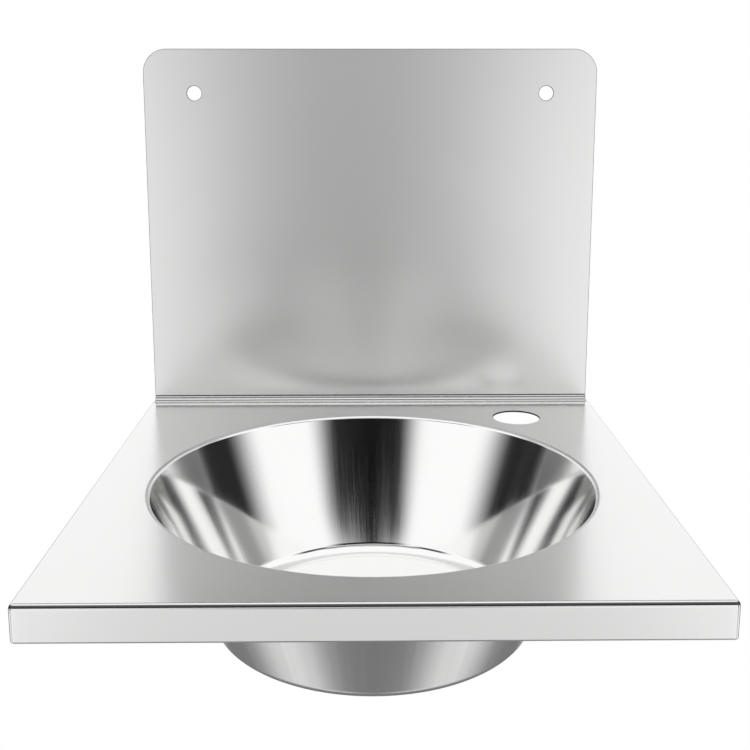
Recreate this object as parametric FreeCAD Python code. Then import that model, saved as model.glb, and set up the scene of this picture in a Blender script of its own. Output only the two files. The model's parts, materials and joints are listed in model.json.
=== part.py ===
import FreeCAD, Part
import math
import os

# A wall-hung hand wash sink of folded stainless sheet, with a round bowl and a centre-screw waste.
# Millimetres. X runs to the right, Y into the wall and Z up. The origin is on the wall face of the
# splashback, midway between its two screw holes.

# Folded body
sheet = 1.2                # thickness of the folded sheet
deck_width = 350.0         # across the two side aprons
deck_depth = 352.0         # from the splashback's face to the face of the front apron
apron_height = 20.0        # from the top of the deck to the bottom of the aprons
fold_radius = 1.5          # inside radius of the apron folds
hem_height = 8.0           # how far the aprons' bottom edges are folded back up inside
hem_bevel = 0.6            # on the hem's two bottom edges
cove_radius = 5.0          # hollow of the bend between deck and splashback
splash_height = 275.0      # above the deck
splash_corner = 18.0       # round top corners of the splashback
wall_hole_radius = 5.5
wall_hole_spacing = 268.0
wall_hole_drop = 33.0      # from the top edge of the splashback to the holes
tap_hole_radius = 17.5
tap_hole_right = 110.0     # from the middle of the deck
tap_hole_forward = 48.0    # from the splashback's face

# Bowl
bowl_sheet = 1.2
bowl_forward = 182.5       # from the splashback's face to the bowl's axis
bowl_top_radius = 139.0    # where the wall's slope would reach the top of the deck
bowl_base_radius = 95.0    # where the wall's slope would reach the base
bowl_depth = 92.0
lip_radius = 3.0
base_corner_radius = 10.0
bowl_bend_chords = 2       # short straight runs that each round bend of the bowl is drawn with
sump_depth = 4.5           # the hollow that falls from the base to the strainer's seat
sump_radius = 48.0         # where that fall starts
seat_clearance = 2.0       # of the flat seat round the strainer
drain_hole_radius = 21.5

# Waste
flange_gasket_thickness = 1.5
body_gasket_thickness = 2.0
gasket_inset = 1.0         # of the gaskets' edges from the drain hole and the strainer's rim
strainer_sheet = 1.0
strainer_radius = 31.0
dish_clearance = 0.85      # between the dish and the bore of the tail that it hangs in
dish_depth = 5.0
water_holes = 8
water_hole_radius = 2.6
water_hole_margin = 1.5    # from the holes to the dish's wall
screw_radius = 3.0
screw_head_radius = 5.2
screw_head_height = 2.4
screw_head_bevel = 0.7
screw_slot_width = 1.3
screw_slot_depth = 1.4
screw_hole_clearance = 0.3
screw_end = 1.0            # how far the screw's end passes the insert
waste_length = 32.0        # from the bowl's underside to the end of the tail
tail_radius = 20.95        # over the thread
tail_wall = 3.6
body_flange_inset = 1.0    # from the strainer's edge to the waste body's
body_flange_thickness = 4.5
boss_wall = 2.1
boss_length = 12.0
boss_clearance = 1.2       # between the dish and the top of the boss
rib_count = 3
rib_thickness = 2.4
rib_drop = 4.5             # from the top of the boss to the ribs
insert_wall = 1.4
thread_clearance = 0.05

past = 1.0                 # how far a cut runs past what it cuts
same_place = 0.01          # edges this close to a plane lie on it

# Levels and places that follow from the sizes above
wall_plane = 0.0
splash_top = wall_hole_drop
deck_top = splash_top - splash_height
splash_face = wall_plane - sheet
front_face = splash_face - deck_depth
fold_outside = fold_radius + sheet
splash_width = deck_width - 2 * fold_outside
bowl_centre = splash_face - bowl_forward
base_level = deck_top - bowl_depth
wall_slope = math.atan2(bowl_depth, bowl_top_radius - bowl_base_radius)
weld_radius = bowl_top_radius + lip_radius * math.tan(wall_slope / 2)    # where the lip starts
seat_level = base_level - sump_depth
strainer_level = seat_level + flange_gasket_thickness
dish_underside = strainer_level - dish_depth
seat_underside = seat_level - bowl_sheet
body_top = seat_underside - body_gasket_thickness
tail_end = seat_underside - waste_length
boss_top = dish_underside - boss_clearance
boss_bottom = boss_top - boss_length
seat_radius = strainer_radius + seat_clearance
gasket_bore = drain_hole_radius + gasket_inset
body_flange_radius = strainer_radius - body_flange_inset
bore_radius = tail_radius - tail_wall
dish_radius = bore_radius - dish_clearance
insert_radius = screw_radius + insert_wall

up = FreeCAD.Vector(0, 0, 1)
back = FreeCAD.Vector(0, 1, 0)
bowl_axis = FreeCAD.Vector(0, bowl_centre, 0)


def bend(before, corner, after, radius):
    """Start, middle and end of the arc that rounds a corner of a path."""
    behind = (before - corner).normalize()
    ahead = (after - corner).normalize()
    half = behind.getAngle(ahead) / 2
    run = radius / math.tan(half)
    inward = (behind + ahead).normalize()
    middle = corner + inward * (radius / math.sin(half) - radius)
    return corner + behind * run, middle, corner + ahead * run


def offset_path(points, distance):
    """The path moved sideways, to the right of its direction, by the distance."""
    sides = []
    for start, end in zip(points, points[1:]):
        run = (end - start).normalize()
        sides.append((start, run, FreeCAD.Vector(run.y, -run.x, 0) * distance))
    moved = [points[0] + sides[0][2]]
    for (_, run_a, side_a), (corner, run_b, side_b) in zip(sides, sides[1:]):
        gap = side_b - side_a
        along = (gap.x * run_b.y - gap.y * run_b.x) / (run_a.x * run_b.y - run_a.y * run_b.x)
        moved.append(corner + side_a + run_a * along)
    moved.append(points[-1] + sides[-1][2])
    return moved


def straight(start, end):
    """The run between two points, or nothing where they are one point."""
    if start.distanceToPoint(end) < same_place:
        return []
    return [Part.LineSegment(start, end).toShape()]


def rounded_edges(points, radii, chords):
    """Straight runs, with a bend at each corner: an arc, or chords of it where their number is given."""
    edges = []
    at = points[0]
    for before, corner, after, radius in zip(points, points[1:], points[2:], radii):
        if not radius:
            edges += straight(at, corner)
            at = corner
            continue
        start, middle, end = bend(before, corner, after, radius)
        arc = Part.Arc(start, middle, end).toShape()
        stops = arc.discretize(chords + 1) if chords else []
        edges += straight(at, start)
        edges += [Part.LineSegment(a, b).toShape() for a, b in zip(stops, stops[1:])] or [arc]
        at = end
    return edges + straight(at, points[-1])


def sheet_section(path, radii, thickness, chords=0):
    """Face of a bent sheet. The path is its upper side, drawn so that the metal lies to its right."""
    points = [FreeCAD.Vector(a, b, 0) for a, b in path]
    under = offset_path(points, thickness)
    under_radii = []
    for before, corner, after, radius in zip(points, points[1:], points[2:], radii):
        turn = (corner - before).cross(after - corner).z
        change = -thickness if turn < 0 else thickness
        under_radii.append(radius + change if radius else 0)
    edges = rounded_edges(points, radii, chords) + rounded_edges(under, under_radii, chords)
    edges += straight(points[0], under[0]) + straight(points[-1], under[-1])
    return Part.Face(Part.Wire(Part.sortEdges(edges)[0]))


def spun(section):
    """The solid that a section of radius and height makes round the bowl's axis."""
    section = section.copy()
    section.rotate(FreeCAD.Vector(), FreeCAD.Vector(1, 0, 0), 90)
    section.translate(bowl_axis)
    return section.revolve(bowl_axis, up, 360)


def turned(outline):
    """A turned solid from straight runs of radius and height."""
    points = [FreeCAD.Vector(r, z, 0) for r, z in outline]
    return spun(Part.Face(Part.makePolygon(points + points[:1])))


def cylinder(radius, bottom, top, x=0.0, y=bowl_centre):
    return Part.makeCylinder(radius, top - bottom, FreeCAD.Vector(x, y, bottom), up)


def ring(outer, inner, bottom, top):
    return cylinder(outer, bottom, top).cut(cylinder(inner, bottom, top))


def edges_of(shape, wanted):
    return [edge for edge in shape.Edges if wanted(edge.BoundBox)]


def near(a, b):
    return abs(a - b) < same_place


def tray(inset, bottom, top, rear, rounding):
    """Block as wide and deep as the tray, less an inset, with its top and front edges rounded."""
    half = deck_width / 2 - inset
    front = front_face + inset
    corner = FreeCAD.Vector(-half, front, bottom)
    block = Part.makeBox(2 * half, rear - front, top - bottom, corner)

    def folded(box):
        on_top = near(box.ZMin, top) and not near(box.YMin, rear)
        upright = near(box.XLength, 0) and near(box.YLength, 0) and near(box.YMin, front)
        return on_top or upright

    return block.makeFillet(rounding, edges_of(block, folded))


def deck_and_aprons():
    bottom = deck_top - apron_height
    outer = tray(0.0, bottom, deck_top, wall_plane, fold_outside)
    inner = tray(sheet, bottom + hem_height, deck_top - sheet, wall_plane + past, fold_radius)
    hem_half = deck_width / 2 - 2 * sheet
    hem_front = front_face + 2 * sheet
    between_hems = Part.makeBox(2 * hem_half, wall_plane + past - hem_front, hem_height + past,
                                FreeCAD.Vector(-hem_half, hem_front, bottom))
    shell = outer.cut(inner).cut(between_hems)

    def bottom_edge(box):
        return near(box.ZMax, bottom) and not near(box.YMin, wall_plane)

    return shell.makeChamfer(hem_bevel, edges_of(shell, bottom_edge))


def upstand():
    """Bend at the rear of the deck and the splashback above it."""
    bend_start = splash_face - cove_radius
    path = [(bend_start - past, deck_top), (splash_face, deck_top), (splash_face, splash_top)]
    section = sheet_section(path, [cove_radius], sheet)
    section.rotate(FreeCAD.Vector(), FreeCAD.Vector(1, 1, 1), 120)
    section.translate(FreeCAD.Vector(-splash_width / 2, 0, 0))
    plate = section.extrude(FreeCAD.Vector(splash_width, 0, 0))

    def top_corner(box):
        return near(box.ZMin, splash_top) and near(box.XLength, 0)

    return plate.makeFillet(splash_corner, edges_of(plate, top_corner))


def folded_body():
    bend_start = splash_face - cove_radius
    rear_strip = Part.makeBox(splash_width, wall_plane + past - bend_start, sheet + 2 * past,
                              FreeCAD.Vector(-splash_width / 2, bend_start, deck_top - sheet - past))
    body = deck_and_aprons().cut(rear_strip).fuse(upstand())
    for x in (-wall_hole_spacing / 2, wall_hole_spacing / 2):
        start = FreeCAD.Vector(x, splash_face - past, 0)
        body = body.cut(Part.makeCylinder(wall_hole_radius, sheet + 2 * past, start, back))
    below = deck_top - sheet - past
    above = deck_top + past
    tap_y = splash_face - tap_hole_forward
    body = body.cut(cylinder(tap_hole_radius, below, above, tap_hole_right, tap_y))
    body = body.cut(cylinder(weld_radius, below, above))
    return body.removeSplitter()


def bowl():
    path = [(drain_hole_radius, seat_level),
            (seat_radius, seat_level),
            (sump_radius, base_level),
            (bowl_base_radius, base_level),
            (bowl_top_radius, deck_top),
            (weld_radius, deck_top)]
    radii = [0, 0, base_corner_radius, lip_radius]
    return spun(sheet_section(path, radii, bowl_sheet, bowl_bend_chords))


def strainer_flange():
    rim_top = strainer_level + strainer_sheet
    hollow_radius = dish_radius - strainer_sheet
    path = [(0.0, rim_top - dish_depth),
            (hollow_radius, rim_top - dish_depth),
            (hollow_radius, rim_top),
            (strainer_radius, rim_top)]
    plate = spun(sheet_section(path, [0, 0], strainer_sheet))
    low = dish_underside - past
    high = rim_top + past
    plate = plate.cut(cylinder(screw_radius + screw_hole_clearance, low, high))
    circle = hollow_radius - water_hole_margin - water_hole_radius
    for index in range(water_holes):
        angle = 2 * math.pi * index / water_holes
        x = circle * math.cos(angle)
        y = bowl_centre + circle * math.sin(angle)
        plate = plate.cut(cylinder(water_hole_radius, low, high, x, y))
    return plate


def strainer_screw():
    head_seat = dish_underside + strainer_sheet
    head_top = head_seat + screw_head_height
    shank = cylinder(screw_radius, boss_bottom - screw_end, head_seat)
    head = cylinder(screw_head_radius, head_seat, head_top)

    def head_rim(box):
        return near(box.ZMin, head_top)

    head = head.makeChamfer(screw_head_bevel, edges_of(head, head_rim))
    slot = Part.makeBox(2 * screw_head_radius, screw_slot_width, screw_slot_depth,
                        FreeCAD.Vector(-screw_head_radius, bowl_centre - screw_slot_width / 2,
                                       head_top - screw_slot_depth))
    return shank.fuse(head).cut(slot).removeSplitter()


def flange_gasket():
    outer = strainer_radius - strainer_sheet - gasket_inset
    return ring(outer, gasket_bore, seat_level, strainer_level)


def body_gasket():
    return ring(body_flange_radius, gasket_bore, body_top, seat_underside)


def waste_body():
    flange_bottom = body_top - body_flange_thickness
    shell = turned([(bore_radius, body_top), (body_flange_radius, body_top),
                    (body_flange_radius, flange_bottom), (tail_radius, flange_bottom),
                    (tail_radius, tail_end), (bore_radius, tail_end)])
    boss = cylinder(insert_radius + boss_wall, boss_bottom, boss_top)
    for index in range(rib_count):
        rib = Part.makeBox(bore_radius + tail_wall / 2, rib_thickness, boss_length - rib_drop,
                           FreeCAD.Vector(0, bowl_centre - rib_thickness / 2, boss_bottom))
        rib.rotate(bowl_axis, up, 90 + 360 * index / rib_count)
        boss = boss.fuse(rib)
    body = shell.fuse(boss)
    return body.cut(cylinder(insert_radius, boss_bottom - past, boss_top + past)).removeSplitter()


def screw_insert():
    return ring(insert_radius, screw_radius + thread_clearance, boss_bottom, boss_top)


nodes = {
    "folded_body": folded_body,
    "bowl": bowl,
    "strainer_flange": strainer_flange,
    "strainer_screw": strainer_screw,
    "flange_gasket": flange_gasket,
    "body_gasket": body_gasket,
    "waste_body": waste_body,
    "screw_insert": screw_insert,
}

os.makedirs("parts", exist_ok=True)
for name, make in nodes.items():
    solid = make()
    if len(solid.Solids) != 1 or not solid.isValid():
        raise RuntimeError(name + " is not one valid solid")
    solid.Solids[0].exportStep("parts/" + name + ".step")
    box = solid.BoundBox
    print(name, "volume", round(solid.Volume), "z", round(box.ZMin, 1), round(box.ZMax, 1))
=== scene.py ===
import json
import math

import bmesh
import bpy
import numpy as np
from mathutils import Matrix, Vector


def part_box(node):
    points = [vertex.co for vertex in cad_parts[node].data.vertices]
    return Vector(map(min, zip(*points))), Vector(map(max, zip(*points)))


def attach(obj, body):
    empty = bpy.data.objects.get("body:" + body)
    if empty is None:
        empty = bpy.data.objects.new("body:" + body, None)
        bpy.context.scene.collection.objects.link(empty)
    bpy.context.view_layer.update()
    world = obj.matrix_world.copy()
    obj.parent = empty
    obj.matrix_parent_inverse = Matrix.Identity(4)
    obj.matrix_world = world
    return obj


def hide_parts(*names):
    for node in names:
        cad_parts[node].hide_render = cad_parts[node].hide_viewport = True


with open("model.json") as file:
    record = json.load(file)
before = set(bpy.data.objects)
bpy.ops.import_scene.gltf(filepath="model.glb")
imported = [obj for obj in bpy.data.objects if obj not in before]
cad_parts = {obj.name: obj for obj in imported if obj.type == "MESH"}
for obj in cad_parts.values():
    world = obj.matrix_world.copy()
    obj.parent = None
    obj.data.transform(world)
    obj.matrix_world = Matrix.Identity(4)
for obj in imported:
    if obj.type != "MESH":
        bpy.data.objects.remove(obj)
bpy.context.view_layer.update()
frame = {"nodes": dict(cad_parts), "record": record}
print("frame loaded:", ", ".join(sorted(frame["nodes"])))

# The sink's main places, from its solids: the deck's level, the bowl's axis and the holes, in metres.
mm = 0.001
meeting = 0.002 * mm                                   # points nearer than this are one point
mounts = {row["name"]: row for row in frame["record"]["mounts"]}
bodyLow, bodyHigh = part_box("folded_body")
bowlLow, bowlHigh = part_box("bowl")
strainerLow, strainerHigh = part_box("strainer_flange")
wasteLow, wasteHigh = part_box("waste_body")
insertLow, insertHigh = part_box("screw_insert")
deckTop = bowlHigh.z                                   # the bowl's rim lies flush with the deck
bowlAxis = ((bowlLow.x + bowlHigh.x) / 2, (bowlLow.y + bowlHigh.y) / 2)
weldRadius = (bowlHigh.x - bowlLow.x) / 2
tapCentre = tuple(mounts["tap_hole"]["pos_m"][:2])
tapRadius = mounts["tap_hole"]["dims"]["r_mm"] * mm
wallHoleX = mounts["wall_holes"]["dims"]["spacing_x_mm"] / 2 * mm
wallHoleRadius = mounts["wall_holes"]["dims"]["hole_r_mm"] * mm


# Points on a straight run, ends included, evenly spread at no more than the pitch.
def stops(start, end, pitch):
    start, end = np.asarray(start, float), np.asarray(end, float)
    count = max(1, math.ceil(np.linalg.norm(end - start) / pitch - 1e-6))
    return start + (end - start) * np.linspace(0, 1, count + 1)[:, None]


# Stops along several runs, each corner taken once; a closed outline doesn't repeat its first point.
def outlineStops(corners, pitch, closed=True):
    ends = corners[1:] + corners[:1] if closed else corners[1:]
    runs = [stops(a, b, pitch)[:-1] for a, b in zip(corners, ends)]
    return np.concatenate(runs if closed else runs + [np.asarray(corners[-1:], float)])


# Points centre + radius * (cos a, sin a) for a from start to end, both in degrees.
def arc(centre, radius, start, end, steps):
    angle = np.radians(np.linspace(start, end, steps + 1))[:, None]
    return np.asarray(centre, float) + radius * np.concatenate([np.cos(angle), np.sin(angle)], 1)


# A path through corners, each rounded by an arc that touches both of its runs.
def roundedPath(corners, radii, steps):
    corners = [np.asarray(p, float) for p in corners]
    parts = [corners[:1]]
    for before, corner, after, radius in zip(corners, corners[1:], corners[2:], radii):
        back = (before - corner) / np.linalg.norm(before - corner)
        ahead = (after - corner) / np.linalg.norm(after - corner)
        half = math.acos(np.clip(back @ ahead, -1, 1)) / 2
        inward = (back + ahead) / np.linalg.norm(back + ahead)
        centre = corner + inward * radius / math.sin(half)
        turn = np.linspace(-1, 1, steps + 1)[:, None] * (math.pi / 2 - half)
        side = (ahead - back) / np.linalg.norm(ahead - back)
        parts.append(centre + radius * (side * np.sin(turn) - inward * np.cos(turn)))
    return np.concatenate(parts + [corners[-1:]])


# The corners of a bent sheet's other face: each run moved sideways by the thickness, to its right.
def otherFace(corners, thickness):
    corners = np.asarray(corners, float)
    run = np.diff(corners, axis=0)
    run /= np.linalg.norm(run, axis=1)[:, None]
    side = np.stack([run[:, 1], -run[:, 0]], 1)
    cross = run[:-1, 0] * run[1:, 1] - run[:-1, 1] * run[1:, 0]
    gap = (side[1:] - side[:-1]) * thickness
    along = (gap[:, 0] * run[1:, 1] - gap[:, 1] * run[1:, 0]) / cross
    inner = corners[1:-1] + side[:-1] * thickness + run[:-1] * along[:, None]
    first, last = corners[0] + side[0] * thickness, corners[-1] + side[-1] * thickness
    return np.concatenate([[first], inner, [last]])


# Length from a path's start to each of its points.
def pathLength(path):
    return np.concatenate([[0], np.cumsum(np.linalg.norm(np.diff(path, axis=0), axis=1))])


# One grid of points with its own UV grid and the number of its material.
def patch(points, uv, material=0):
    return np.asarray(points, float), np.asarray(uv, float), material


# Revolves a path of (radius, height) about an upright axis: x = cx + r cos a, y = cy + r sin a.
# U is the arc's length at the path's widest place and V the length along the path.
def spin(path, centre, steps, material=0):
    angle = np.linspace(0, 2 * math.pi, steps + 1)[None, :]
    radius, height = path[:, :1], path[:, 1:]
    points = np.stack([centre[0] + radius * np.cos(angle), centre[1] + radius * np.sin(angle),
                       height + 0 * angle], -1)
    u = angle * path[:, 0].max() + 0 * radius
    v = pathLength(path)[:, None] + 0 * angle
    return patch(points, np.stack([u, v], -1), material)


# A flat plate with one round hole: each point of the outline is joined to the hole's edge at the
# same angle about the hole's centre, edge = centre + radius * offset / length of offset.
def holedPlate(outline, centre, radius):
    offset = outline - centre
    edge = centre + offset * (radius / np.linalg.norm(offset, axis=1))[:, None]
    plate = np.stack([edge, outline])
    return np.concatenate([plate, plate[:, :1]], 1)


# Flat points (x, y) set at one height.
def atHeight(flat, height):
    return np.concatenate([flat, np.full_like(flat[..., :1], height)], -1)


# Quads of a grid of points, as indices that start at first.
def gridQuads(rows, columns, first):
    corner = first + np.arange(rows - 1)[:, None] * columns + np.arange(columns - 1)
    return np.stack([corner, corner + 1, corner + columns + 1, corner + columns], -1).reshape(-1, 4)


# For every edge of a mesh, the cosine of the turn between its two faces.
def edgeTurn(mesh):
    loopEdge = np.empty(len(mesh.loops), np.int32)
    mesh.loops.foreach_get("edge_index", loopEdge)
    total = np.empty(len(mesh.polygons), np.int32)
    mesh.polygons.foreach_get("loop_total", total)
    normal = np.empty(len(mesh.polygons) * 3)
    mesh.polygons.foreach_get("normal", normal)
    faceOfLoop = np.repeat(np.arange(len(total)), total)
    order = np.argsort(loopEdge, kind="stable")
    first = np.searchsorted(loopEdge[order], np.arange(len(mesh.edges)))
    last = np.searchsorted(loopEdge[order], np.arange(len(mesh.edges)), side="right") - 1
    normal = normal.reshape(-1, 3)
    a, b = faceOfLoop[order[first]], faceOfLoop[order[last]]
    return (normal[a] * normal[b]).sum(1)


# A piece from its patches. Points that meet are merged and faces turned outwards; a skin, which has a
# thickness, is thickened inwards from the side that looks up. Edges that turn by more than the sharp
# angle are marked, and those of them that aren't kept are rounded by a bevel.
def makePiece(name, patches, node, materials, thickness=0.0, bevel=0.0, sharp=40, keep=None):
    first = np.cumsum([0] + [p.shape[0] * p.shape[1] for p, _, _ in patches])
    quads = [gridQuads(p.shape[0], p.shape[1], f) for (p, _, _), f in zip(patches, first)]
    which = np.concatenate([np.full(len(q), m, np.int32) for q, (_, _, m) in zip(quads, patches)])
    quads = np.concatenate(quads)
    uvs = np.concatenate([uv.reshape(-1, 2) for _, uv, _ in patches])
    mesh = bpy.data.meshes.new(name)
    mesh.from_pydata(np.concatenate([p.reshape(-1, 3) for p, _, _ in patches]), [], quads)
    layer = mesh.uv_layers.new(name="surface")
    layer.data.foreach_set("uv", uvs[quads.ravel()].ravel().astype(np.float32))
    mesh.polygons.foreach_set("material_index", which)
    work = bmesh.new()
    work.from_mesh(mesh)
    bmesh.ops.remove_doubles(work, verts=work.verts, dist=meeting)
    bmesh.ops.dissolve_degenerate(work, edges=work.edges, dist=meeting)
    bmesh.ops.recalc_face_normals(work, faces=work.faces)
    if thickness and sum(f.normal.z * f.calc_area() for f in work.faces) < 0:
        bmesh.ops.reverse_faces(work, faces=work.faces)
    work.to_mesh(mesh)
    work.free()
    for material in materials:
        mesh.materials.append(material)
    piece = bpy.data.objects.new(name, mesh)
    bpy.context.scene.collection.objects.link(piece)
    if thickness:
        wall = piece.modifiers.new("sheet", "SOLIDIFY")
        wall.thickness, wall.offset, wall.use_even_offset = thickness, -1.0, False
        wall.material_offset_rim = len(materials) - 1      # cut edges take the last material
        solid = piece.evaluated_get(bpy.context.evaluated_depsgraph_get())
        mesh = bpy.data.meshes.new_from_object(solid)
        piece.modifiers.clear()
        piece.data = mesh
        mesh.name = name
    mesh.polygons.foreach_set("use_smooth", np.ones(len(mesh.polygons), bool))
    hard = edgeTurn(mesh) < math.cos(math.radians(sharp))
    mark(mesh, "sharp_edge", "BOOLEAN", hard)
    if bevel:
        ends, place = np.empty(len(mesh.edges) * 2, np.int32), np.empty(len(mesh.vertices) * 3)
        mesh.edges.foreach_get("vertices", ends)
        mesh.vertices.foreach_get("co", place)
        middle = place.reshape(-1, 3)[ends.reshape(-1, 2)].mean(1)
        mark(mesh, "bevel_weight_edge", "FLOAT", hard if keep is None else hard & ~keep(middle))
        rounding = piece.modifiers.new("edges", "BEVEL")
        rounding.limit_method, rounding.width, rounding.segments = "WEIGHT", bevel, 2
        rounding.material = len(materials) - 1
    even = piece.modifiers.new("flat faces stay flat", "WEIGHTED_NORMAL")
    even.mode, even.keep_sharp = "FACE_AREA", True
    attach(piece, "root")
    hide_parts(node)
    print(name, "has", len(mesh.polygons), "faces")


# Writes one value for each edge into a mesh's attribute.
def mark(mesh, name, kind, values):
    attribute = mesh.attributes.get(name) or mesh.attributes.new(name, kind, "EDGE")
    attribute.data.foreach_set("value", values.astype(bool if kind == "BOOLEAN" else np.float32))


# A node of a material or world, with its settings and the sockets or values that go into it.
def addNode(tree, kind, inputs=None, **settings):
    node = tree.nodes.new(kind)
    for key, value in settings.items():
        setattr(node, key, value)
    for key, value in (inputs or {}).items():
        if isinstance(value, bpy.types.NodeSocket):
            tree.links.new(value, node.inputs[key])
        else:
            node.inputs[key].default_value = value
    return node


# A new material, its tree and its shader.
def newMaterial(name):
    material = bpy.data.materials.new(name)
    material.use_nodes = True
    tree = material.node_tree
    return material, tree, tree.nodes["Principled BSDF"]


# A sum, product or other function of one or two values.
def maths(tree, operation, *values):
    return addNode(tree, "ShaderNodeMath", dict(enumerate(values)), operation=operation).outputs[0]


# Maps a socket from one range onto another.
def remap(tree, value, low, high, toLow, toHigh, smooth=False):
    inputs = {"Value": value, "From Min": low, "From Max": high, "To Min": toLow, "To Max": toHigh}
    kind = "SMOOTHSTEP" if smooth else "LINEAR"
    return addNode(tree, "ShaderNodeMapRange", inputs, interpolation_type=kind).outputs["Result"]


# (1 - factor) * first + factor * second, for plain values.
def mixValues(tree, factor, first, second):
    inputs = {0: factor, 2: first, 3: second}
    return addNode(tree, "ShaderNodeMix", inputs, data_type="FLOAT").outputs[0]


# A colour between the dark and the light one of a look.
def mixTones(tree, factor, look):
    inputs = {"Factor": factor, "A": (*look["dark"], 1), "B": (*look["light"], 1)}
    return addNode(tree, "ShaderNodeMix", inputs, data_type="RGBA").outputs["Result"]


# Noise from 0 to 1, mostly near a half.
def noise(tree, place, scale, detail, roughness=0.5, dimensions="2D"):
    inputs = {"Vector": place, "Scale": scale, "Detail": detail, "Roughness": roughness}
    return addNode(tree, "ShaderNodeTexNoise", inputs, noise_dimensions=dimensions).outputs["Fac"]


# Noise whose grains are stretched: so many to the metre each way on the UV map.
def stretchedNoise(tree, uv, scale, detail, roughness):
    place = addNode(tree, "ShaderNodeMapping", {"Vector": uv, "Scale": scale}).outputs["Vector"]
    return noise(tree, place, 1.0, detail, roughness)          # the mapping already sets the scale


# The sockets that every finish of the sink sets: colour, roughness and the lift of the surface.
def connect(tree, shader, tone, rough, height, strength, lift):
    bump = addNode(tree, "ShaderNodeBump", {"Height": height, "Strength": strength, "Distance": lift})
    tree.links.new(tone, shader.inputs["Base Color"])
    tree.links.new(rough, shader.inputs["Roughness"])
    tree.links.new(bump.outputs["Normal"], shader.inputs["Normal"])


# Brushed sheet: hair lines run along V of the UV map, which is laid out as the flat blank. The lines
# change roughness and tone a little, and lift the surface by a few thousandths of a millimetre.
# Roughness follows fine + broad noise, whose sum lies mostly between 0.7 and 1.3.
def brushedSteel(name, look):
    material, tree, shader = newMaterial(name)
    uv = addNode(tree, "ShaderNodeUVMap", uv_map="surface").outputs["UV"]
    fine = stretchedNoise(tree, uv, look["hairs"], detail=4.0, roughness=0.65)
    broad = stretchedNoise(tree, uv, look["bands"], detail=2.0, roughness=0.5)
    rough = remap(tree, maths(tree, "ADD", fine, broad), 0.7, 1.3, *look["roughness"])
    connect(tree, shader, mixTones(tree, fine, look), rough, fine, look["bump"], look["lift"])
    tangent = addNode(tree, "ShaderNodeTangent", direction_type="UV_MAP", uv_map="surface")
    tree.links.new(tangent.outputs["Tangent"], shader.inputs["Tangent"])
    shader.inputs["Metallic"].default_value = 1.0
    shader.inputs["Anisotropic"].default_value = look["anisotropic"]
    shader.inputs["Anisotropic Rotation"].default_value = look["turn"]
    shader.inputs["Specular Tint"].default_value = (*look["glance"], 1)
    return material


satinLook = {
    "hairs": (4200.0, 12.0, 1.0),         # hair lines per metre, across and along the grain
    "bands": (220.0, 2.5, 1.0),
    "roughness": (0.185, 0.198),
    "dark": (0.89, 0.89, 0.885),
    "light": (0.93, 0.93, 0.925),
    "bump": 0.02,
    "lift": 0.004 * mm,
    "anisotropic": 0.6,
    "turn": 0.0,                          # of the blur, in whole turns: 0 is across the hair lines
    "glance": (1.0, 1.0, 1.0),            # tone at a glancing angle
}
# painted light: the splashback, one sheet with the deck, gets a lighter tone than the deck so that it
# mirrors brighter
splashPaintedLightLook = {
    **satinLook,
    "roughness": (0.277, 0.287),
    "dark": (0.96, 0.96, 0.955),
    "light": (0.985, 0.985, 0.98),
    "bump": 0.01,
    "anisotropic": 0.63,
    "turn": 0.25,
}
paintedShadeBendLook = {                              # bends with painted shade: near black, also at a glancing angle, in place of the dark reflection along them
    **satinLook,
    "dark": (0.10, 0.10, 0.10),
    "light": (0.14, 0.14, 0.14),
    "glance": (0.0, 0.0, 0.0),
}
undersideLook = {
    **satinLook,
    "roughness": (0.20, 0.27),
    "dark": (0.76, 0.76, 0.755),
    "light": (0.84, 0.84, 0.835),
    "anisotropic": 0.3,
}
polishedLook = {
    **satinLook,
    "hairs": (900.0, 18.0, 1.0),
    "bands": (60.0, 3.0, 1.0),
    "roughness": (0.07, 0.13),
    "dark": (0.955, 0.955, 0.95),
    "light": (0.98, 0.98, 0.975),
    "bump": 0.08,
    "lift": 0.01 * mm,
    "anisotropic": 0.35,
}
# painted shade: the sheet's cut edges and their rounds are near black, also at a glancing angle, in
# place of the thin dark lines along them
paintedShadeEdgeLook = {
    **satinLook,
    "roughness": (0.3, 0.4),
    "dark": (0.02, 0.02, 0.02),
    "light": (0.04, 0.04, 0.04),
    "anisotropic": 0.0,
    "glance": (0.0, 0.0, 0.0),
}
satinSteel = brushedSteel("satinSteel", satinLook)
splashPaintedLight = brushedSteel("splashPaintedLight", splashPaintedLightLook)
paintedShadeBends = brushedSteel("paintedShadeBends", paintedShadeBendLook)
undersideSteel = brushedSteel("undersideSteel", undersideLook)
polishedSteel = brushedSteel("polishedSteel", polishedLook)
paintedShadeEdge = brushedSteel("paintedShadeEdge", paintedShadeEdgeLook)


# Turned or moulded parts: fine rings about the bowl's axis, which follow radius and height only, and
# a cloud that changes tone and roughness. The cloud lies mostly between 0.3 and 0.7.
def turnedFinish(name, look):
    material, tree, shader = newMaterial(name)
    place = addNode(tree, "ShaderNodeTexCoord").outputs["Object"]
    centred = addNode(tree, "ShaderNodeVectorMath", {0: place, 1: (*bowlAxis, 0)},
                      operation="SUBTRACT").outputs["Vector"]
    parts = addNode(tree, "ShaderNodeSeparateXYZ", {"Vector": centred}).outputs
    flat = addNode(tree, "ShaderNodeCombineXYZ", {"X": parts["X"], "Y": parts["Y"]}).outputs["Vector"]
    radius = addNode(tree, "ShaderNodeVectorMath", {0: flat}, operation="LENGTH").outputs["Value"]
    section = addNode(tree, "ShaderNodeCombineXYZ", {"X": radius, "Y": parts["Z"]}).outputs["Vector"]
    rings = noise(tree, section, look["rings"], detail=3.0)
    cloud = noise(tree, centred, look["cloud"], detail=3.0, dimensions="3D")
    rough = remap(tree, cloud, 0.3, 0.7, *look["roughness"])
    connect(tree, shader, mixTones(tree, cloud, look), rough, rings, look["bump"], look["lift"])
    shader.inputs["Metallic"].default_value = look["metallic"]
    return material


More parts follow.
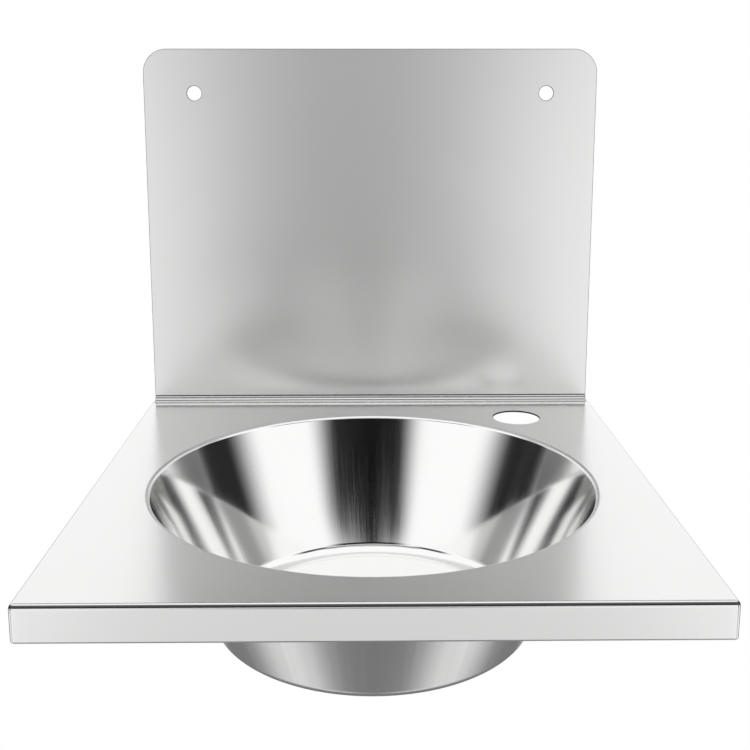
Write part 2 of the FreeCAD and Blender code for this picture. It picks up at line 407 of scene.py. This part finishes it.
strainerLook = {
    "rings": 900.0,
    "cloud": 120.0,
    "roughness": (0.10, 0.20),
    "metallic": 1.0,
    "dark": (0.80, 0.80, 0.795),
    "light": (0.86, 0.86, 0.855),
    "bump": 0.2,
    "lift": 0.01 * mm,
}
brassLook = {
    **strainerLook,
    "rings": 1500.0,
    "cloud": 300.0,
    "roughness": (0.22, 0.34),
    "dark": (0.62, 0.45, 0.20),
    "light": (0.78, 0.60, 0.30),
    "lift": 0.02 * mm,
}
plasticLook = {
    **strainerLook,
    "rings": 300.0,
    "cloud": 500.0,
    "roughness": (0.42, 0.55),
    "metallic": 0.0,
    "dark": (0.78, 0.78, 0.76),
    "light": (0.84, 0.84, 0.82),
    "lift": 0.02 * mm,
}
rubberLook = {
    **strainerLook,
    "rings": 800.0,
    "cloud": 900.0,
    "roughness": (0.55, 0.75),
    "metallic": 0.0,
    "dark": (0.018, 0.018, 0.018),
    "light": (0.04, 0.04, 0.04),
    "lift": 0.03 * mm,
}
strainerSteel = turnedFinish("strainerSteel", strainerLook)
insertBrass = turnedFinish("insertBrass", brassLook)
wastePlastic = turnedFinish("wastePlastic", plasticLook)
gasketRubber = turnedFinish("gasketRubber", rubberLook)
print("materials made")


folded = {
    "sheet": 1.2 * mm,
    "foldRadius": 1.5 * mm,      # inside the apron folds
    "hemHeight": 8.0 * mm,
    "hemGap": 0.1 * mm,          # between the hem's two leaves
    "coveRadius": 5.0 * mm,      # hollow of the bend behind the deck
    "apron": 20.0 * mm,
    "splashCorner": 18.0 * mm,
    "edge": 0.45 * mm,           # round on the sheet's cut edges
    "weldBand": 0.1 * mm,        # edges this near the weld are ground flush, with no round
    "pitch": 3.0 * mm,           # longest step along a straight run
    "bendSteps": 8,
    "tapCell": (1.23, 1.27),     # grid round the tap hole, in hole radii to its left and its front
    "paintedShadeFoldSteps": (3, 6),          # the steps of the fold between which it takes the painted shade
    "paintedShadeCoveSteps": (3, 4, 7, 8),    # and the two such lines of the cove
}


# The outer side of an apron as (outwards, up) from the line where its fold starts: over the fold, down
# the face, round the hem and up its inner leaf.
def apronLine(size):
    sheet, steps = size["sheet"], size["bendSteps"]
    outside = size["foldRadius"] + sheet
    turn = sheet + size["hemGap"] / 2
    return np.concatenate([
        arc((0, -outside), outside, 90, 0, steps),
        arc((outside - turn, turn - size["apron"]), turn, 0, -180, 2 * steps),
        [(outside - 2 * turn, size["hemHeight"] - size["apron"])]])


# Carries a line of (outwards, up) along stations: point = station + outwards * normal, at height up.
# UV is the flat blank: U across the deck and V along it, run on over the folds.
def carry(line, stations, normals, level):
    flat = stations[:, None, :] + line[None, :, :1] * normals[:, None, :]
    high = np.broadcast_to(level + line[None, :, 1:], flat[..., :1].shape)
    blank = stations[:, None, :] + pathLength(line)[None, :, None] * normals[:, None, :]
    return np.concatenate([flat, high], -1), blank


# A grid cut along its second axis at the given steps, with one material for each strip.
def strips(points, uv, cuts, materials):
    return [patch(points[:, a:b + 1], uv[:, a:b + 1], m) for a, b, m in zip(cuts, cuts[1:], materials)]


# The sheet's upper and outer side, to be thickened inwards: the deck round the bowl and round the tap
# hole, the cove, the splashback round its two holes, and the aprons carried round the two front
# corners. Material 0 is the satin deck, 1 the splashback with its painted light, 2 the bends' painted
# shade.
def foldedSkin(size):
    pitch, steps, cove = size["pitch"], size["bendSteps"], size["coveRadius"]
    outside = size["foldRadius"] + size["sheet"]
    side, front = bodyHigh.x - outside, bodyLow.y + outside      # where the folds start
    face = bodyHigh.y - size["sheet"]
    coveY, coveZ, top = face - cove, deckTop + cove, bodyHigh.z
    cellLeft, cellFront = (tapCentre[i] - size["tapCell"][i] * tapRadius for i in (0, 1))

    bowlCell = outlineStops([(cellLeft, coveY), (0, coveY), (-side, coveY), (-side, front),
                             (side, front), (side, cellFront), (cellLeft, cellFront)], pitch)
    tapCell = outlineStops([(side, coveY), (cellLeft, coveY), (cellLeft, cellFront),
                            (side, cellFront)], pitch)
    patches = []
    for outline, centre, radius in ((bowlCell, bowlAxis, weldRadius), (tapCell, tapCentre, tapRadius)):
        plate = holedPlate(outline, centre, radius)
        patches.append(patch(atHeight(plate, deckTop), plate))

    across = outlineStops([(-side, 0), (0, 0), (cellLeft, 0), (side, 0)], pitch, closed=False)[:, :1]
    bend = arc((coveY, coveZ), cove, -90, 0, steps)
    wide, even = across + 0 * bend[:, 0], 0 * across
    patches += strips(np.stack([wide, even + bend[:, 0], even + bend[:, 1]], -1),
                      np.stack([wide, even + coveY + pathLength(bend)], -1),
                      (0, *size["paintedShadeCoveSteps"]), (0, 2, 0, 2))

    corner = size["splashCorner"]
    for sign, foot in ((-1, [(0, coveZ)]), (1, [(cellLeft, coveZ), (0, coveZ)])):
        curve = arc((side - corner, top - corner), corner, 90, 0, 2 * steps) * (sign, 1)
        before = outlineStops(foot + [(0, top), tuple(curve[0])], pitch, closed=False)
        after = outlineStops([tuple(curve[-1]), (sign * side, coveZ), foot[0]], pitch, closed=False)
        rim = np.concatenate([before[:-1], curve[:-1], after[:-1]])
        plate = holedPlate(rim, (sign * wallHoleX, 0.0), wallHoleRadius)
        upright = np.stack([plate[..., 0], np.full_like(plate[..., 0], face), plate[..., 1]], -1)
        patches.append(patch(upright, plate + (0, coveY + cove * math.pi / 2 - coveZ), 1))

    left = outlineStops([(-side, bodyHigh.y), (-side, coveY), (-side, front)], pitch, closed=False)
    across = outlineStops([(-side, front), (side, front)], pitch, closed=False)
    right = outlineStops([(side, front), (side, cellFront), (side, coveY), (side, bodyHigh.y)],
                         pitch, closed=False)
    turn = arc((0, 0), 1, 180, 270, steps)[1:-1]
    stations = np.concatenate([left, 0 * turn + left[-1], across, 0 * turn + right[0], right])
    normals = np.concatenate([0 * left + (-1, 0), turn, 0 * across + (0, -1), turn[::-1] * (-1, 1),
                              0 * right + (1, 0)])
    points, blank = carry(apronLine(size), stations, normals, deckTop)
    first, last, half = len(left) - 1, len(stations) - len(right), steps // 2
    rows = (0, first, first + half, last - half, last, len(stations) - 1)
    columns = (0, *size["paintedShadeFoldSteps"], points.shape[1] - 1)
    for start, end, below in zip(rows, rows[1:], (0, 2, 0, 2, 0)):   # the corners' side halves take the painted shade
        patches += strips(points[start:end + 1], blank[start:end + 1], columns, (0, 2, below))
    return patches


# True for the points on the deck's weld with the bowl: |distance from the axis - weld radius| < band.
def atWeld(points):
    distance = np.hypot(points[:, 0] - bowlAxis[0], points[:, 1] - bowlAxis[1])
    return np.abs(distance - weldRadius) < folded["weldBand"]


# The body's cut edges and their rounds take the last material, the near-black painted shade.
makePiece("foldedBody", foldedSkin(folded), "folded_body",
          [satinSteel, splashPaintedLight, paintedShadeBends, paintedShadeEdge],
          thickness=folded["sheet"], bevel=folded["edge"], keep=atWeld)


bowl = {
    "sheet": 1.2 * mm,
    "drainRadius": 21.5 * mm,
    "seatRadius": 33.0 * mm,
    "sumpRadius": 48.0 * mm,
    "sumpDepth": 4.5 * mm,
    "depth": 92.0 * mm,
    "baseRadius": 98.0 * mm,
    "topRadius": 139.0 * mm,     # where the wall's slope would reach the deck
    "lipRadius": 3.0 * mm,
    "cornerRadius": 11.0 * mm,
    "sumpBends": (6.0 * mm, 6.0 * mm),     # at the seat's edge and at the base
    "steps": 288,
    "bendSteps": 14,
}


# The polished inside and the brushed underside, each a profile of (radius, height) spun about the
# bowl's axis, and the two cut rims that close the sheet. Bends keep the sheet's thickness.
def bowlPatches(size):
    base, thick, steps = deckTop - size["depth"], size["sheet"], size["bendSteps"]
    seat = base - size["sumpDepth"]
    corners = [(size["drainRadius"], seat), (size["seatRadius"], seat), (size["sumpRadius"], base),
               (size["baseRadius"], base), (size["topRadius"], deckTop), (weldRadius, deckTop)]
    seatBend, sumpBend = size["sumpBends"]
    corner, lip = size["cornerRadius"], size["lipRadius"]
    inner = roundedPath(corners, [seatBend, sumpBend + thick, corner, lip], steps)
    outer = roundedPath(otherFace(corners, thick),
                        [seatBend + thick, sumpBend, corner + thick, lip - thick], steps)
    rims = [np.stack([inner[i], outer[i]]) for i in (0, -1)]
    return [spin(inner, bowlAxis, size["steps"], 0)] + [
        spin(path, bowlAxis, size["steps"], 1) for path in (outer, *rims)]


makePiece("bowlShell", bowlPatches(bowl), "bowl", [polishedSteel, undersideSteel])


strainer = {
    "sheet": 1.0 * mm,
    "dishRadius": 16.5 * mm,
    "screwHole": 3.3 * mm,
    "holes": 8,
    "holeRadius": 2.6 * mm,
    "holeCircle": 11.4 * mm,
    "bend": 1.2 * mm,            # inside the dish's two bends
    "bendSteps": 6,
    "margin": 1.8 * mm,          # from the dish's wall to the sectors with the holes
    "edge": 0.25 * mm,
    "pitch": 1.0 * mm,
    "steps": 96,
}


# The rim, the dish's wall and its floor with a ring of water holes, each hole in its own sector.
def strainerSkin(size):
    rimTop, floor = strainerHigh.z, strainerLow.z + size["sheet"]
    hollow, bend, pitch = size["dishRadius"] - size["sheet"], size["bend"], size["pitch"]
    outer, reach = strainerHigh.x - bowlAxis[0], hollow - size["margin"]
    corners = [(reach, floor), (hollow, floor), (hollow, rimTop), (outer, rimTop)]
    path = roundedPath(corners, [bend, bend], size["bendSteps"])
    patches = [spin(path, bowlAxis, size["steps"])]
    count, half = size["steps"] // size["holes"], 180 / size["holes"]
    for middle in 2 * half * np.arange(size["holes"]):
        outside = arc((0, 0), reach, middle - half, middle + half, count)
        inside = arc((0, 0), size["screwHole"], middle + half, middle - half, count)
        rim = np.concatenate([outside[:-1], stops(outside[-1], inside[0], pitch)[:-1],
                              inside[:-1], stops(inside[-1], outside[0], pitch)[:-1]])
        centre = arc((0, 0), size["holeCircle"], middle, middle, 1)[0]
        plate = holedPlate(rim, centre, size["holeRadius"]) + bowlAxis
        patches.append(patch(atHeight(plate, floor), plate))
    return patches


makePiece("strainerPlate", strainerSkin(strainer), "strainer_flange",
          [strainerSteel], thickness=strainer["sheet"], bevel=strainer["edge"])


waste = {
    "bore": 17.35 * mm,
    "flange": 4.5 * mm,
    "threadPitch": 2.31 * mm,
    "threadDepth": 1.1 * mm,
    "plainEnd": 2.0 * mm,        # without thread, at the tail's end
    "bossWall": 2.1 * mm,
    "ribs": 3,
    "ribThickness": 2.4 * mm,
    "ribDrop": 4.5 * mm,         # from the boss's top to the ribs'
    "ribLift": 0.05 * mm,        # from the boss's foot to the ribs'
    "ribRoot": 1.0 * mm,         # how far the ribs run into the walls that they join
    "steps": 96,
    "rows": 12,                  # of the thread's grid in one pitch
}


# The tail's outside: radius = crest - depth * (0.5 + 0.5 * cos(2 pi * (height / pitch - turn))), which
# fades to the crest at both ends.
def threadedTail(size, low, high, crest):
    pitch = size["threadPitch"]
    rows = math.ceil((high - low) / pitch * size["rows"])
    height = np.linspace(low, high, rows + 1)[:, None]
    angle = np.linspace(0, 2 * math.pi, size["steps"] + 1)[None, :]
    fade = np.clip(np.minimum(height - low, high - height) / pitch, 0, 1)
    wave = 0.5 + 0.5 * np.cos(2 * math.pi * height / pitch - angle)
    radius = crest - size["threadDepth"] * fade * wave
    points = np.stack([bowlAxis[0] + radius * np.cos(angle), bowlAxis[1] + radius * np.sin(angle),
                       height + 0 * angle], -1)
    return patch(points, np.stack([crest * angle + 0 * height, height + 0 * angle], -1))


# Six faces of a box from (near, -half) to (far, half), turned about the bowl's axis by the angle a:
# x = cx + u cos a - v sin a, y = cy + u sin a + v cos a.
def turnedBox(near, far, half, low, high, degrees):
    a = math.radians(degrees)
    u, v, z = np.meshgrid((near, far), (-half, half), (low, high), indexing="ij")
    x = bowlAxis[0] + u * math.cos(a) - v * math.sin(a)
    y = bowlAxis[1] + u * math.sin(a) + v * math.cos(a)
    box = np.stack([x, y, z], -1)
    sides = [box[0], box[1], box[:, 0], box[:, 1], box[:, :, 0], box[:, :, 1]]
    return [patch(side, side[..., :2]) for side in sides]


# The flange and the tail round the bore, the boss round its insert, and the ribs between them.
def wastePatches(size):
    crest = mounts["waste_tail"]["dims"]["r_mm"] * mm
    bore, top, bottom = size["bore"], wasteHigh.z, wasteLow.z
    under, plain = top - size["flange"], bottom + size["plainEnd"]
    flange = wasteHigh.x - bowlAxis[0]
    insert = insertHigh.x - bowlAxis[0]
    boss = insert + size["bossWall"]
    profiles = (
        [(bore, top), (flange, top), (flange, under), (crest, under)],
        [(crest, plain), (crest, bottom), (bore, bottom), (bore, top)],
        [(insert, insertHigh.z), (boss, insertHigh.z), (boss, insertLow.z), (insert, insertLow.z),
         (insert, insertHigh.z)])
    patches = [spin(np.array(path), bowlAxis, size["steps"]) for path in profiles]
    patches.append(threadedTail(size, plain, under, crest))
    for index in range(size["ribs"]):
        patches += turnedBox(insert + size["ribRoot"], bore + size["ribRoot"], size["ribThickness"] / 2,
                             insertLow.z + size["ribLift"], insertHigh.z - size["ribDrop"],
                             90 + 360 / size["ribs"] * index)
    return patches


makePiece("wasteBody", wastePatches(waste), "waste_body", [wastePlastic])

# The screw, its insert and the gaskets keep their own meshes.
for node, material in (("strainer_screw", strainerSteel), ("screw_insert", insertBrass),
                       ("flange_gasket", gasketRubber), ("body_gasket", gasketRubber)):
    mesh = frame["nodes"][node].data
    mesh.materials.clear()
    mesh.materials.append(material)
print("pieces made")


camera = {
    "place": (-5.08 * mm, -819.97 * mm, -9.16 * mm),
    "pitch": 10.442,             # degrees down
    "yaw": 0.591,                # degrees to the right
    "roll": -0.024,
    "lens": 50.66,
    "sensor": 36.0,
    "clip": (0.01, 100.0),
    "shiftY": -0.1,
}


# Forward, right and up from the three angles, as a camera's matrix of right, up and backwards.
def placeCamera(size):
    pitch, yaw, roll = (math.radians(size[key]) for key in ("pitch", "yaw", "roll"))
    forward = np.array([math.sin(yaw) * math.cos(pitch), math.cos(yaw) * math.cos(pitch),
                        -math.sin(pitch)])
    level = np.array([math.cos(yaw), -math.sin(yaw), 0.0])
    upright = np.cross(level, forward)
    right = math.cos(roll) * level + math.sin(roll) * upright
    up = -math.sin(roll) * level + math.cos(roll) * upright
    data = bpy.data.cameras.new("camera")
    data.sensor_width, data.lens, data.shift_y = size["sensor"], size["lens"], size["shiftY"]
    data.clip_start, data.clip_end = size["clip"]
    eye = bpy.data.objects.new("camera", data)
    matrix = Matrix(np.stack([right, up, -forward], 1).tolist()).to_4x4()
    matrix.translation = size["place"]
    eye.matrix_world = matrix
    bpy.context.scene.collection.objects.link(eye)
    bpy.context.scene.camera = eye


placeCamera(camera)

# Dark, grey and light panels that the steel mirrors, by direction in degrees: azimuth from the front
# to the right, and height above level; then softness of their edges, and how bright they are.
panels = [
    {"azimuth": (-200, 200), "height": (-95, -34), "soft": (9, 3), "tone": 0.21},
    {"azimuth": (-112, -72), "height": (-90, -50), "soft": (18, 5), "tone": 1.0},
    {"azimuth": (72, 112), "height": (-90, -50), "soft": (18, 5), "tone": 1.0},
    {"azimuth": (-18, 18), "height": (-33, -22), "soft": (5, 2), "tone": 0.72},
    {"azimuth": (-8.0, 6.5), "height": (-19, 5), "soft": (3.2, 3), "tone": 0.21},
    {"azimuth": (-4.5, 3.5), "height": (18.5, 26), "soft": (5, 2), "tone": 0.1},
    {"azimuth": (-13, 12), "height": (5.5, 11.5), "soft": (4, 2), "tone": 0.02},
    {"azimuth": (-25, 32), "height": (23.8, 38.5), "soft": (9, 1.2), "tone": 0.006},
    {"azimuth": (-66, -38), "height": (34, 46), "soft": (6, 1.5), "tone": 0.04},
    {"azimuth": (38, 66), "height": (34, 46), "soft": (6, 1.5), "tone": 0.04},
    {"azimuth": (-44, 44), "height": (41, 52), "soft": (6, 1.5), "tone": 0.3},
    {"azimuth": (-20, 20), "height": (50, 58), "soft": (8, 2), "tone": 0.6},
    {"azimuth": (-118, -77), "height": (-5, 24.5), "soft": (12, 2.5), "tone": 0.02},
    {"azimuth": (80, 118), "height": (-5, 24.5), "soft": (12, 2.5), "tone": 0.02},
    {"azimuth": (-74, -47), "height": (-25, 17), "soft": (5, 1.5), "tone": 0.02},
    {"azimuth": (47, 74), "height": (-25, 17), "soft": (5, 1.5), "tone": 0.02},
    {"azimuth": (-150, -104), "height": (26, 38), "soft": (6, 2), "tone": 0.25},
    {"azimuth": (104, 150), "height": (26, 38), "soft": (6, 2), "tone": 0.25},
    {"azimuth": (-200, -140), "height": (37, 52), "soft": (10, 3), "tone": 0.02},
    {"azimuth": (140, 200), "height": (37, 52), "soft": (10, 3), "tone": 0.02},
]


# The world's tone is 1, mixed with each panel's tone inside its ranges of direction, where
# azimuth = atan2(x, -y) and height = asin(z). Softness spreads each edge by so many degrees to both
# sides. Past the sink the eye sees plain white, and diffuse light is dimmer than what the steel mirrors.
def studioWorld():
    world = bpy.data.worlds.new("studio")
    bpy.context.scene.world = world
    world.use_nodes = True
    tree = world.node_tree
    tree.nodes.clear()
    way = addNode(tree, "ShaderNodeTexCoord").outputs["Generated"]
    parts = addNode(tree, "ShaderNodeSeparateXYZ", {"Vector": way}).outputs
    front = maths(tree, "MULTIPLY", parts["Y"], -1.0)
    azimuth = maths(tree, "DEGREES", maths(tree, "ARCTAN2", parts["X"], front))
    height = maths(tree, "DEGREES", maths(tree, "ARCSINE", parts["Z"]))
    tone = 1.0
    for panel in panels:
        inside = 1.0
        for value, (low, high), soft in zip((azimuth, height), (panel["azimuth"], panel["height"]),
                                            panel["soft"]):
            over = remap(tree, value, low - soft, low + soft, 0.0, 1.0, smooth=True)
            past = remap(tree, value, high - soft, high + soft, 1.0, 0.0, smooth=True)
            inside = maths(tree, "MULTIPLY", inside, maths(tree, "MULTIPLY", over, past))
        tone = mixValues(tree, inside, tone, panel["tone"])
    light = addNode(tree, "ShaderNodeLightPath").outputs
    seen = maths(tree, "MAXIMUM", light["Is Camera Ray"], light["Is Transmission Ray"])
    shown = maths(tree, "MAXIMUM", seen, light["Is Glossy Ray"])
    level = mixValues(tree, shown, studio["diffuseLevel"], 1.0)
    strength = maths(tree, "MULTIPLY", mixValues(tree, seen, tone, 1.0), level)
    sky = addNode(tree, "ShaderNodeBackground", {"Color": (1, 1, 1, 1), "Strength": strength})
    out = addNode(tree, "ShaderNodeOutputWorld")
    tree.links.new(sky.outputs["Background"], out.inputs["Surface"])


studio = {
    "diffuseLevel": 0.6,
    "floorDrop": 0.73,           # from the end of the waste to the floor
    "floorReach": 6.0,
    "floorGrey": 0.85,
    "floorRoughness": 0.8,
    "lamps": [                   # place, width and power
        ((-1.3, -1.1, 0.9), 1.2, 9.0),
        ((1.4, -0.9, 0.8), 1.2, 7.0),
        ((0.0, -0.6, 1.7), 1.4, 6.0),
    ],
}
studioWorld()


# A wide pale square, which looks plain white to the eye and isn't mirrored in the steel.
def makeFloor(size):
    reach, level = size["floorReach"], wasteLow.z - size["floorDrop"]
    mesh = bpy.data.meshes.new("floor")
    mesh.from_pydata([(-reach, -reach, level), (reach, -reach, level), (reach, reach, level),
                      (-reach, reach, level)], [], [(0, 1, 2, 3)])
    floor = bpy.data.objects.new("floor", mesh)
    bpy.context.scene.collection.objects.link(floor)
    material, tree, shader = newMaterial("paleFloor")
    shader.inputs["Base Color"].default_value = (*[size["floorGrey"]] * 3, 1)
    shader.inputs["Roughness"].default_value = size["floorRoughness"]
    light = addNode(tree, "ShaderNodeLightPath").outputs
    seen = maths(tree, "MAXIMUM", light["Is Camera Ray"], light["Is Transmission Ray"])
    white = addNode(tree, "ShaderNodeEmission", {"Color": (1, 1, 1, 1), "Strength": 1.0})
    both = addNode(tree, "ShaderNodeMixShader", {0: seen, 1: shader.outputs["BSDF"],
                                                 2: white.outputs["Emission"]})
    tree.links.new(both.outputs["Shader"], tree.nodes["Material Output"].inputs["Surface"])
    mesh.materials.append(material)
    floor.visible_glossy = False


makeFloor(studio)

for number, (place, width, power) in enumerate(studio["lamps"]):
    data = bpy.data.lights.new(f"lamp{number}", "AREA")
    data.shape, data.size, data.energy = "SQUARE", width, power
    lamp = bpy.data.objects.new(data.name, data)
    lamp.location = place
    toward = Vector((*bowlAxis, deckTop)) - Vector(place)
    lamp.rotation_euler = toward.to_track_quat("-Z", "Y").to_euler()
    lamp.visible_glossy = False
    bpy.context.scene.collection.objects.link(lamp)

bpy.context.scene.view_settings.view_transform = "Standard"
print("studio made")
